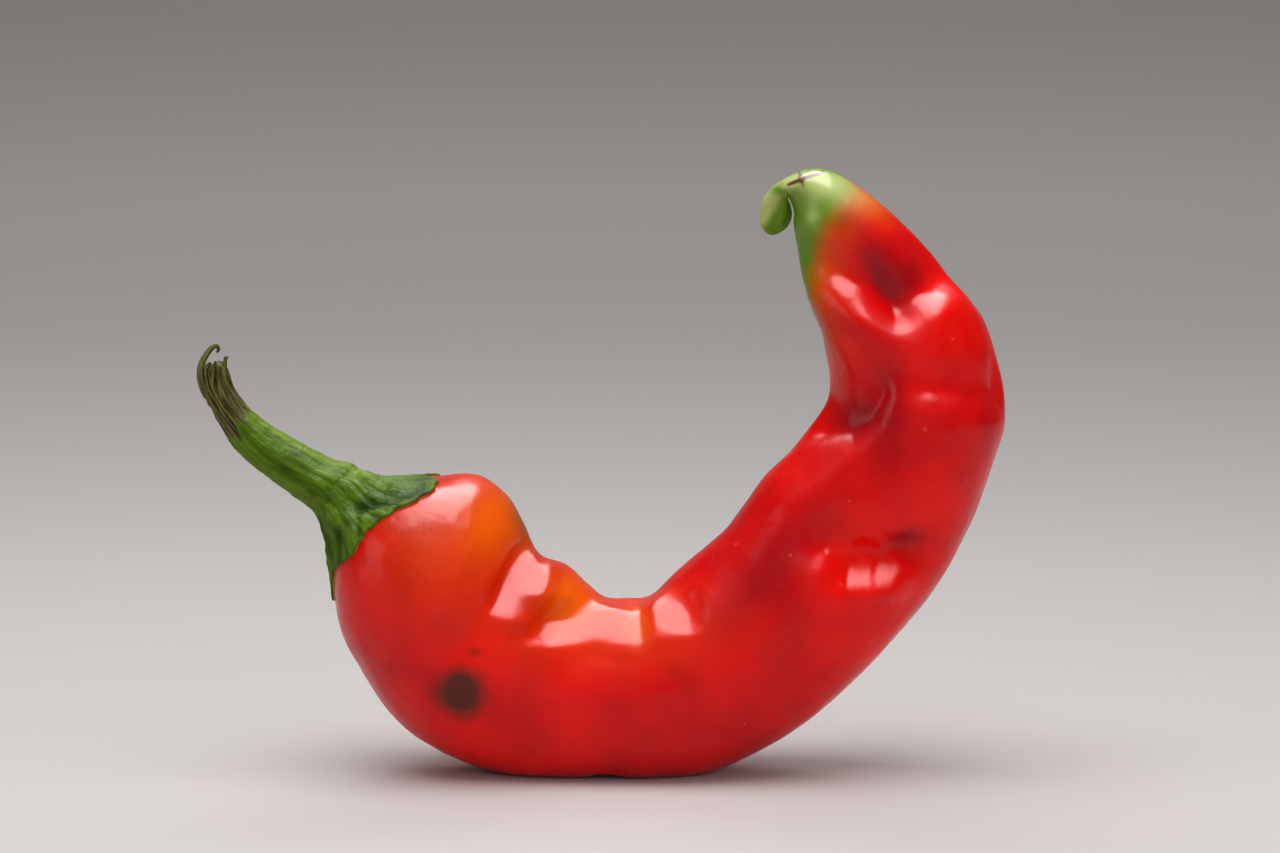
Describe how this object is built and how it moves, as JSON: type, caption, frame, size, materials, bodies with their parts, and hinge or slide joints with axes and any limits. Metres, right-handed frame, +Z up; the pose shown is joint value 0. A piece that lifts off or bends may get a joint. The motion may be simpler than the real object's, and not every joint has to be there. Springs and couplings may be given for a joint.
{
  "type": "chilli pepper",
  "caption": "Large glossy red chilli pepper bent into an upright C, with a dented pod, green curled tip, ribbed green calyx and torn stalk.",
  "frame": {"origin": "on the surface the pepper rests on, under the middle of its box", "axes": "+X from the stalk towards the bend's far side, +Y across the pod, away from the viewer who has the stalk on the left, +Z up"},
  "size_m": [0.1121, 0.0304, 0.0846],
  "materials": {
    "pod_skin": "waxy glossy red skin",
    "calyx_green": "fleshy ribbed green, satin",
    "stem_green": "fibrous green stalk with a dried torn end, satin"
  },
  "bodies": {
    "root": {"pod": "pod_skin", "calyx": "calyx_green", "stem": "stem_green"}
  },
  "joints": []
}
